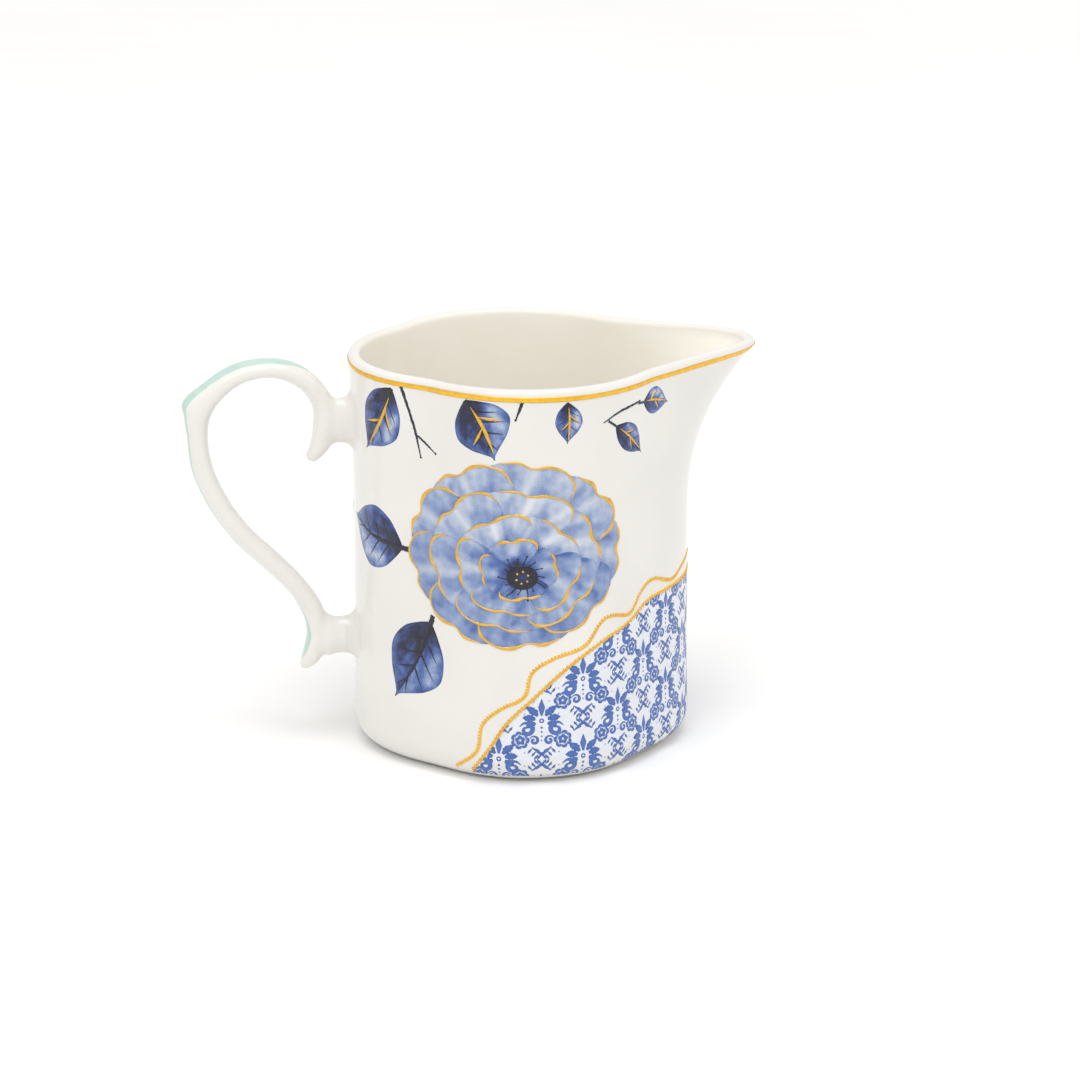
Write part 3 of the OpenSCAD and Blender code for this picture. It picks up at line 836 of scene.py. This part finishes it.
def petal_gold(f):
    """Fine gold round each tip and down the side that lies on top of the next petal."""
    for place, layer, _, number, on_top in petals():
        last = TIP_END + 2 if on_top else TIP_END
        line = [place(*p) for p in PETAL[TIP:last + 1]]
        press = 0.3 + 0.08 * math.sin(2.1 * number)
        f.stroke(line, [0.05, press, 0.14, press + 0.06, 0.16, press, 0.05], OLD_GOLD, layer + 0.2, 0.05,
                 ragged=0.06)
    middle = FLOWER + HEART_SHIFT
    for i in range(6):
        angle = 2 * math.pi * i / 6 + 0.4
        f.dot(middle + 1.3 * np.array((math.cos(angle), math.sin(angle))), 0.36, OLD_GOLD,
              HEART_LAYER + 1, 0.05)


# ---------- leaves and twigs ----------

# Each leaf: stalk end, tip, half width, tone. Its shape is the same plain one for all.
LEAVES = {"leaf_under_rim": [((-37, 82.8), (-46, 68.6), 5.8, 0.54)],
          "leaf_above_peony": [((-17.5, 83.2), (-11.3, 71.4), 6.4, 0.54)],
          "bud_leaf": [((3.8, 83.2), (3.8, 74.6), 2.9, 0.42)],
          "lip_leaf_pair": [((24.4, 80), (33, 78.4), 2.9, 0.42), ((15.4, 76.6), (23.6, 69.6), 2.9, 0.58)],
          "leaf_by_handle": [((-35, 48.6), (-53.4, 51.7), 6.9, 0.5)],
          "leaf_below_peony": [((-27.2, 33.4), (-37, 15.8), 7.6, 0.56)]}
VEINED_IN_GOLD = ("leaf_under_rim", "leaf_above_peony", "bud_leaf", "lip_leaf_pair")
STALK = 0.7
RIM_LEAF_HEIGHT = 82
LEAF_SIDE = [(0, 0.06), (0.1, 0.42), (0.26, 0.82), (0.5, 1), (0.72, 0.72), (0.88, 0.3), (0.97, 0.07)]


def leaf_place(leaf):
    """Turns a share of the leaf's length and of its half width into a place on the wall."""
    stalk, tip, half, _ = leaf
    stalk = np.asarray(stalk, float)
    along_leaf = np.asarray(tip, float) - stalk
    aside = np.array((-along_leaf[1], along_leaf[0])) / np.linalg.norm(along_leaf)

    def place(share, across):
        bow = 0.12 * math.sin(math.pi * share)
        return stalk + along_leaf * share + aside * half * (across + bow)

    return place


def leaf_width(share):
    """The leaf's own half width at a share of its length, as a share of the widest."""
    return np.interp(share, [s for s, _ in LEAF_SIDE], [w for _, w in LEAF_SIDE])


def leaf_ink(f, leaf):
    place = leaf_place(leaf)
    tone = leaf[3]
    size = leaf[2]
    stalk = STALK / size if leaf[0][1] < RIM_LEAF_HEIGHT else 0
    far_side = [(share, -across) for share, across in reversed(LEAF_SIDE)]
    outline = [place(*p) for p in LEAF_SIDE + [(1.04, 0)] + far_side]
    marks = [([place(0.3, 0.55), place(0.6, 0.6)], tone - 0.3, 0.22 * size),
             ([place(0.2, -0.5), place(0.5, -0.7), place(0.8, -0.4)], tone + 0.16, 0.2 * size),
             ([place(0.7, 0.3), place(0.9, 0.1)], tone - 0.16, 0.14 * size)]
    f.fill(outline, wash(tone, place(0, 0), 0.93, 0.8 * size, marks, 0.1, 0.1, size), 0)
    shade = [place(share, -0.86 * across) for share, across in reversed(LEAF_SIDE)]
    spine = [place(share, -0.04) for share in (0.04, 0.2, 0.4, 0.6, 0.8, 0.95)]
    f.fill(spine + shade, wash(tone + 0.16, place(0.1, -0.2), 0.95, 0.9 * size, (), 0.1, -0.1, 2 * size), 1)
    f.stroke([place(share, 0) for share in (-stalk, 0.02, 0.3, 0.6, 0.97)],
             [0.08 * size, 0.08 * size, 0.06 * size, 0.04 * size, 0.04], 0.98, 2, 0.01, ragged=0.25)
    for share in (0.2, 0.38, 0.56, 0.74):
        for way in (-1, 1):
            reach = 0.8 * way * leaf_width(share + 0.16)
            f.stroke([place(share, 0), place(share + 0.1, 0.6 * reach), place(share + 0.16, reach)],
                     [0.035 * size, 0.025 * size, 0.03], 0.94, 2, 0.01, ragged=0.3)


def leaf_group(name):
    def draw(film):
        for leaf in LEAVES[name]:
            leaf_ink(film, leaf)

    return draw


def leaf_gold(f):
    """Gold along the middle vein and two side veins."""
    for name in VEINED_IN_GOLD:
        for leaf in LEAVES[name]:
            place = leaf_place(leaf)
            press = 0.05 * leaf[2] + 0.08
            f.stroke([place(share, 0.03) for share in (0.12, 0.45, 0.75, 0.92)],
                     [0.05, press, press, 0.05], OLD_GOLD, 3, 0.05, ragged=0.06)
            for share, way in ((0.3, 1), (0.48, -1)):
                reach = 0.7 * way * leaf_width(share + 0.2)
                f.stroke([place(share, 0.03), place(share + 0.12, 0.55 * reach),
                          place(share + 0.2, reach)], [0.05, 0.8 * press, 0.05], OLD_GOLD, 3, 0.05,
                         ragged=0.06)


def twigs(f):
    for line, widths in (([(-34.3, 83.9), (-31.4, 76.2), (-30.6, 73.6), (-29.5, 69.2)],
                          [0.4, 0.3, 0.3, 0.12]),
                         ([(-30.4, 73.8), (-28.4, 72.6), (-25.4, 70.6)], [0.2, 0.24, 0.1]),
                         ([(-5.3, 83.9), (-6.8, 79.8)], [0.4, 0.12]),
                         ([(12, 77.9), (16.4, 79.6), (22.8, 80.6)], [0.1, 0.26, 0.2])):
        f.stroke(line, widths, 0.94, 1, 0.02, ragged=0.25)
        f.dot(line[-1], 0.34, 0.94, 1, 0.03)


# ---------- braids ----------

BRAID = [(-16.8, 2.2), (-12.5, 8), (-9, 13.5), (-4, 18.6), (4, 25.7), (12, 30.3), (20, 33), (26, 35.7),
         (31, 36.5), (44, 37), (LIP_U, 37.3)]
WAVE = [(-20.6, 2.6), (-15.3, 7), (-14, 13), (-10, 16.8), (-5, 19.7), (-3.3, 25), (1.5, 28), (8, 30),
        (12, 34.6), (15, 35.4), (20.5, 34.7), (24.6, 38.5), (29.5, 40), (37, 38), (43, 39.6), (50, 40.6),
        (LIP_U, 39.2)]


def along(line, pitch):
    """Evenly spaced places on a line, with the direction there."""
    path = blend(line, False, 0.1)
    length = np.concatenate([[0], np.cumsum(np.linalg.norm(np.diff(path, axis=0), axis=1))])
    at = np.arange(pitch / 2, length[-1], pitch)
    points = np.stack([np.interp(at, length, path[:, k]) for k in (0, 1)], axis=1)
    ahead = np.stack([np.interp(at + 0.1, length, path[:, k]) for k in (0, 1)], axis=1)
    back = np.stack([np.interp(at - 0.1, length, path[:, k]) for k in (0, 1)], axis=1)
    d = ahead - back
    return points, d / np.linalg.norm(d, axis=1)[:, None]


def straight_braid(f):
    """A twisted cord: slanted strands on a thin core, so that both edges are toothed."""
    f.stroke(BRAID, [0.25], 0.2, 2, 0.05)
    points, d = along(BRAID, 1.0)
    side = np.stack([-d[:, 1], d[:, 0]], axis=1)
    for i, (p, t, n) in enumerate(zip(points, d, side)):
        long = 0.44 + 0.06 * math.sin(2.3 * i)
        f.stroke([p - long * t - 0.43 * n, p, p + long * t + 0.43 * n], [0.07, 0.27, 0.07], 0, 3, 0.1,
                 step=0.22)


def wavy_braid(f):
    """A thin cord with a row of small loops along its upper edge."""
    f.stroke(WAVE, [0.23], 0, 2, 0.07, step=0.4)
    points, d = along(WAVE, 0.74)
    side = np.stack([-d[:, 1], d[:, 0]], axis=1)
    for i, (p, n) in enumerate(zip(points, side)):
        f.dot(p + (0.42 + 0.04 * math.sin(1.9 * i)) * n, 0.3, 0, 2, 0.08, parts=7)


# ---------- damask ----------

TILE = 9
CELL = 17
CELL_FOOT = 6
PRINT_FOOT = 1.7
AXIS = 7.5


def mirrored(line):
    """A line of the half tile, given from its axis, at every place where it repeats."""
    line = np.asarray(line, float)
    own_mirror = np.ptp(line[:, 0]) < 0.01 and line[0, 0] in (0, TILE)
    for turn in range(-2, 4):
        for flip in (-1, 1):
            if own_mirror and flip < 0:
                continue
            yield line * (flip, 1) + (AXIS + 2 * TILE * turn, 0)


class Damask:
    """Scrollwork on a half tile, repeated in mirror images and cut off at the braid."""

    def __init__(self, film):
        self.film = film
        path = blend(BRAID, False, 0.5)
        self.top = lambda u: np.interp(u, path[:, 0], path[:, 1]) - 0.25
        film.keep = lambda u, z: BRAID[0][0] < u < LIP_U and PRINT_FOOT < z < self.top(u)

    def reaches(self, line):
        u, z = line[:, 0], line[:, 1]
        return bool(((u > BRAID[0][0]) & (u < LIP_U) & (z < self.top(u) + 0.5)).any())

    def line(self, points, widths, level=0.8, layer=1):
        for line in mirrored(points):
            if self.reaches(line):
                self.film.stroke(line, widths, level, layer, 0.01, step=0.35)

    def spot(self, middle, radius, level=0.8, layer=1):
        for line in mirrored([middle]):
            if self.reaches(line):
                self.film.dot(line[0], radius, level, layer, 0.01, parts=7)

    def leaf(self, line, widths, teeth, level=0.85, depth=0.45):
        """A leaf with a toothed edge along a curved rib."""
        path = blend(line, False, 0.12)
        n = len(path)
        share = np.linspace(0, 1, n)
        d = np.gradient(path, axis=0)
        d /= np.linalg.norm(d, axis=1)[:, None]
        side = np.stack([-d[:, 1], d[:, 0]], axis=1)
        half = np.interp(share, np.linspace(0, 1, len(widths)), widths)
        saw = (share * teeth) % 1
        half = np.maximum(half * (1 - depth * saw), 0.04)
        outline = np.vstack([path + side * half[:, None], (path - side * half[:, None])[::-1]])
        for edge in mirrored(outline):
            if self.reaches(edge):
                self.film.fill(edge[::2], level, 1, grid=1.6, closed=False)

    def rose(self, middle, size):
        """A round blossom: fans of short rays under crescent petals, and a beaded eye."""
        x, z = middle
        for count, radius, half, turn in ((5, 0.4, 0.12, 0.4), (7, 0.88, 0.14, 0)):
            for i in range(count):
                a = 2 * math.pi * i / count + turn
                span = 0.84 * math.pi / count
                arc = [(x + size * r * math.cos(a + s * span), z + size * r * math.sin(a + s * span))
                       for s, r in ((-1, radius - 0.2), (-0.75, radius), (0, radius + 0.08),
                                    (0.75, radius), (1, radius - 0.2))]
                self.line(arc, [0.08, half * size, 1.15 * half * size, half * size, 0.08], 0.84)
                for s in (-0.5, 0, 0.5):
                    ray = [(x + size * r * math.cos(a + s * span), z + size * r * math.sin(a + s * span))
                           for r in (radius - 0.28, radius)]
                    self.line(ray, [0.03, 0.055 * size], 0.8)
        for i in range(5):
            a = 2 * math.pi * i / 5 + 0.6
            self.spot((x + 0.15 * size * math.cos(a), z + 0.15 * size * math.sin(a)), 0.075 * size)


def damask_ground(f):
    path = blend(BRAID, False, 1.0)
    edge = [(BRAID[0][0], PRINT_FOOT), *[(float(u), float(z)) for u, z in path], (LIP_U, PRINT_FOOT)]
    edge += [(float(u), PRINT_FOOT) for u in np.linspace(LIP_U, BRAID[0][0], 60)[1:-1]]
    f.fill(edge, 0.035, 0, grid=1.6, closed=False)


def palmette(d, axis, z):
    """Fanned leaves, a bead row and two spirals on one mirror axis. Drawn on one side of it."""
    way = 1 if axis == 0 else -1
    d.spot((axis, z), 0.8, 0.85)
    d.spot((axis, z), 0.36, 0.06, 2)
    d.line([(axis, z + 1.1), (axis, z + 2.8), (axis, z + 4.8)], [0.2, 0.75, 0.06])
    for i in range(3):
        turn = math.radians(32 + 36 * i)
        rib = [(axis + way * r * math.sin(turn + 0.05 * r), z + r * math.cos(turn + 0.05 * r))
               for r in (1.3, 2.6, 4.6 - 0.5 * i)]
        d.leaf(rib, [0.25, 0.95, 0.85, 0.08], 4, depth=0.35)
    for i in range(4):
        d.spot((axis, z - 1.5 - 0.95 * i), 0.4 - 0.05 * i, 0.78)
    for x, drop, size in ((3.1, 1.9, 1.5), (1.6, 4.3, 0.95)):
        coil = []
        for t in np.linspace(0.4, 8.2, 12):
            r = size * (1.15 - 0.11 * t)
            coil.append((axis + way * (x + r * math.cos(t)), z - drop + r * math.sin(t)))
        d.line(coil, [0.08, 0.36 * size, 0.3 * size, 0.16])


def damask(f):
    """A plain lattice of curved cells, with palmettes in the cells and blossoms on the crossings."""
    damask_ground(f)
    d = Damask(f)
    for row in range(-1, 3):
        low = CELL_FOOT + CELL * row

        def lattice(share, low=low):
            return (TILE * (0.5 + 0.5 * math.cos(2 * math.pi * share)), low + CELL * share)

        palmette(d, 0, low)
        palmette(d, TILE, low + CELL / 2)
        for middle in (0.25, 0.75):
            d.rose(lattice(middle), 1.8)
            for way in (-1, 1):
                ends = [middle + way * step for step in (0.09, 0.13, 0.17, 0.21)]
                d.line([lattice(s) for s in ends], [0.12, 0.3, 0.12])
                for step in (0.11, 0.15, 0.19):
                    x, z = lattice(middle + way * step)
                    for side in (-1, 1):
                        d.leaf([(x + 0.4 * side, z), (x + 0.9 * side, z + 0.5 * way),
                                (x + 1.3 * side, z + 1.1 * way)], [0.1, 0.34, 0.05], 2)
        for height in (0.25, 0.75):
            for i in range(5):
                angle = 2 * math.pi * i / 5
                x, z = lattice(height)
                d.spot((x + 2.9 * math.cos(angle), z + 2.9 * math.sin(angle)), 0.22, 0.7)


# ---------- the decoration of one side ----------

FLOWER_LIFT = 4


def painted(side, name, material, slot, node, *draw, bottom=0):
    film = Film(bottom)
    for part in draw:
        part(film)
    label = SIDE_NAMES[side]
    film.build(f"{label}_{name}", side, material, slot, *[f"{label}_{n}" for n in node])


def decorate(side):
    painted(side, "peony_petals", PETAL_INK, "petal_blue", ["peony_transfer"], peony_ink,
            bottom=FLOWER_LIFT)
    painted(side, "peony_gold", GOLD, "gold_enamel", ["peony_transfer"], petal_gold, bottom=FLOWER_LIFT)
    for name in LEAVES:
        painted(side, f"{name}_ink", LEAF_INK, "leaf_blue", [name], leaf_group(name))
    painted(side, "leaf_veins", GOLD, "gold_enamel", list(VEINED_IN_GOLD), leaf_gold)
    painted(side, "twig_ink", TWIG_INK, "twig_navy", ["twigs"], twigs)
    painted(side, "damask_print", DAMASK_INK, "damask_blue", ["damask_transfer"], damask)
    painted(side, "straight_cord", GOLD, "gold_enamel", ["straight_braid"], straight_braid)
    painted(side, "looped_cord", GOLD, "gold_enamel", ["wavy_braid"], wavy_braid)


# ---------- stage, light and camera ----------

FLOOR_HALF = 3000
ROOM_LIGHT = 0.81


def stage():
    """A plain pale floor that runs on past everything the camera sees."""
    corners = [(x * FLOOR_HALF, y * FLOOR_HALF, 0) for x, y in ((-1, -1), (1, -1), (1, 1), (-1, 1))]
    floor = make_object("floor", corners, [[0, 1, 2, 3]], smooth=False)
    f = Finish("floor")
    colour = f.ramp(f.noise(300, 3), [(0.3, (245, 245, 245)), (0.7, (249, 249, 249))])
    roughness = f.remap(f.noise(150, 2), 0.3, 0.7, 0.85, 0.95)
    floor.data.materials.append(f.finish(colour, roughness, f.bump(f.noise(2, 2), 0.01), specular=0.1))


def softbox(name, azimuth, elevation, far, size, power):
    """A square area light that looks at the middle of the jug."""
    light = bpy.data.lights.new(name, "AREA")
    light.size = size
    light.energy = power
    obj = bpy.data.objects.new(name, light)
    bpy.context.scene.collection.objects.link(obj)
    a, e = math.radians(azimuth), math.radians(elevation)
    away = Vector((math.sin(a) * math.cos(e), -math.cos(a) * math.cos(e), math.sin(e)))
    obj.location = Vector((0, 0, HEIGHT * MM / 2)) + away * far
    obj.rotation_euler = away.to_track_quat("Z", "Y").to_euler()


def light():
    """A white room with a soft key from the left and a wide lamp overhead that reaches into the jug."""
    world = bpy.data.worlds.new("room")
    world.use_nodes = True
    background = world.node_tree.nodes["Background"]
    background.inputs["Color"].default_value = (*linear((255, 254, 252)), 1)
    background.inputs["Strength"].default_value = ROOM_LIGHT
    bpy.context.scene.world = world
    softbox("key", -35, 50, 1.6, 0.6, 3.0)
    softbox("fill", 60, 30, 2.0, 1.0, 0.6)
    softbox("overhead", 10, 76, 3.0, 1.8, 34.0)
    bpy.context.scene.view_settings.view_transform = "Standard"


CAMERA_AZIMUTH = -9.495
CAMERA_ELEVATION = 17.258
CAMERA_PLACE = (-0.12379, -0.76518, 0.28375)
FOCAL_LENGTH = 125.24


def camera():
    """The photograph's viewpoint, found from the ellipses of the rim and the foot."""
    data = bpy.data.cameras.new("camera")
    data.sensor_width = 36
    data.lens = FOCAL_LENGTH
    data.clip_end = 20
    obj = bpy.data.objects.new("camera", data)
    bpy.context.scene.collection.objects.link(obj)
    azimuth, elevation = math.radians(CAMERA_AZIMUTH), math.radians(CAMERA_ELEVATION)
    obj.location = CAMERA_PLACE
    away = Vector((math.sin(azimuth) * math.cos(elevation), -math.cos(azimuth) * math.cos(elevation),
                   math.sin(elevation)))
    obj.rotation_euler = away.to_track_quat("Z", "Y").to_euler()
    bpy.context.scene.camera = obj


# ---------- the whole ----------

body()
handle()
luting("upper_fillet", UPPER_STEM, "upper_luting")
luting("lower_fillet", LOWER_STEM, "lower_luting")
gold_rim()
mint_stroke("mint_crest", "mint_handle_crest", 4.4, 9.2, [3, 34, 39, 40, 38, 36, 34])
mint_stroke("mint_spine", "mint_handle_spine", 9.2, 14.7, [35, 33, 32, 30, 27, 18, 3])
mint_stroke("mint_tail", "mint_handle_tail", 15.4, 18.7, [3, 26, 40, 46, 44, 32, 3])
for side in (FRONT, BACK):
    decorate(side)
stage()
light()
camera()
